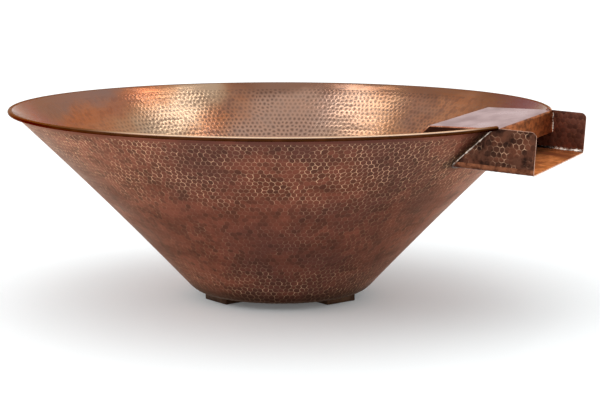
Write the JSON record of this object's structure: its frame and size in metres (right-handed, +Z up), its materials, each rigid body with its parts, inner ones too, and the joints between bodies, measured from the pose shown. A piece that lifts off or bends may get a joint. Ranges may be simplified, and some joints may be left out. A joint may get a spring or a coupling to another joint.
{
  "type": "spillway water bowl",
  "caption": "Conical hammered copper water bowl with a rolled rim, a covered spillway channel on one side, square feet and a threaded inlet under a lift-off diffuser.",
  "frame": {"origin": "on the bowl's axis, in the plane that the feet stand on, at the mouth of the inlet", "axes": "+Z up along the bowl's axis, +X out along the spillway, +Y to the spillway's left"},
  "size_m": [0.8165, 0.788, 0.2815],
  "materials": {
    "hammered_copper": "hammered copper with a dark brown patina",
    "spout_copper": "hammered copper, darker patina",
    "satin_copper": "smooth satin copper, lightly stained",
    "copper_weld": "bright weld metal",
    "copper_wire": "plain drawn copper",
    "bronze_foot": "dull dark bronze",
    "brass_fitting": "machined brass"
  },
  "bodies": {
    "bowl": {"bowl_shell": "hammered_copper", "rim_wire": "copper_wire", "spout_trough": "spout_copper", "spout_hood": "satin_copper", "cheek_near": "satin_copper", "cheek_far": "satin_copper", "trough_weld": "copper_weld", "apron_weld_near": "copper_weld", "apron_weld_far": "copper_weld", "hood_weld_near": "copper_weld", "hood_weld_far": "copper_weld", "inlet_coupling": "brass_fitting", "inlet_weld": "copper_weld", "foot_front": "bronze_foot", "foot_back": "bronze_foot", "foot_left": "bronze_foot"},
    "diffuser": {"diffuser_collar": "brass_fitting", "diffuser_post_1": "brass_fitting", "diffuser_post_2": "brass_fitting", "diffuser_post_3": "brass_fitting", "diffuser_disc": "hammered_copper", "diffuser_rivets": "copper_wire"}
  },
  "joints": [
    {"name": "diffuser_lift", "type": "slide", "parent": "bowl", "child": "diffuser", "axis": [0, 0, 1], "range_m": [0, 0.26]}
  ]
}
